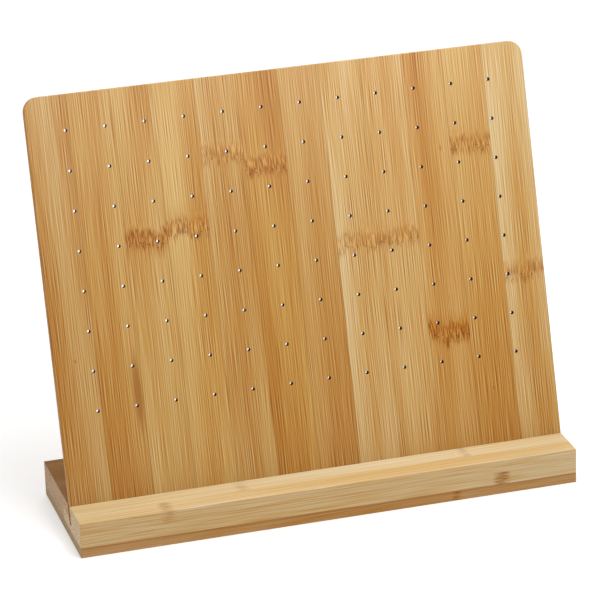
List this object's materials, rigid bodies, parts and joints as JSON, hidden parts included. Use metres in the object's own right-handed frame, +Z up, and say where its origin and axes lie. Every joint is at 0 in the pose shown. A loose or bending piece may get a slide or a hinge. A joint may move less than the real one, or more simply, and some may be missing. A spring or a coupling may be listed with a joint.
{
  "type": "earring display stand",
  "caption": "Slim bamboo board drilled with a grid of small post holes, leaning back in the full-length slot of a low rectangular bamboo base.",
  "frame": {"origin": "centre of the base's underside", "axes": "+X to the viewer's right along the base, +Y from the front to the back, +Z up"},
  "size_m": [0.3302, 0.1053, 0.2713],
  "materials": {
    "panel_bamboo_orange": "satin clear lacquer",
    "panel_bamboo_golden": "satin clear lacquer",
    "base_bamboo_pale": "satin clear lacquer",
    "base_bamboo_dark": "satin clear lacquer"
  },
  "bodies": {
    "base": {"base_top_front_edge": "base_bamboo_pale", "base_top_slot_front_rail": "base_bamboo_pale", "base_top_slot_back_rail": "base_bamboo_pale", "base_top_middle_strip": "base_bamboo_pale", "base_top_rear_strip": "base_bamboo_pale", "base_top_rear_edge": "base_bamboo_pale", "base_core_front_strip": "base_bamboo_pale", "base_core_grooved_strip": "base_bamboo_pale", "base_core_middle_strip": "base_bamboo_pale", "base_core_rear_strip": "base_bamboo_pale", "base_bottom_front_strip": "base_bamboo_dark", "base_bottom_second_strip": "base_bamboo_dark", "base_bottom_third_strip": "base_bamboo_dark", "base_bottom_rear_strip": "base_bamboo_dark"},
    "panel": {"panel_strip_01": "panel_bamboo_orange", "panel_strip_02": "panel_bamboo_orange", "panel_strip_03": "panel_bamboo_golden", "panel_strip_04": "panel_bamboo_golden", "panel_strip_05": "panel_bamboo_orange", "panel_strip_06": "panel_bamboo_orange", "panel_strip_07": "panel_bamboo_orange", "panel_strip_08": "panel_bamboo_golden", "panel_strip_09": "panel_bamboo_golden", "panel_strip_10": "panel_bamboo_orange", "panel_strip_11": "panel_bamboo_orange", "panel_strip_12": "panel_bamboo_golden"}
  },
  "joints": [
    {"name": "panel_lift", "type": "slide", "parent": "base", "child": "panel", "axis": [0, 0.284, 0.9588], "range_m": [0, 0.03]}
  ]
}
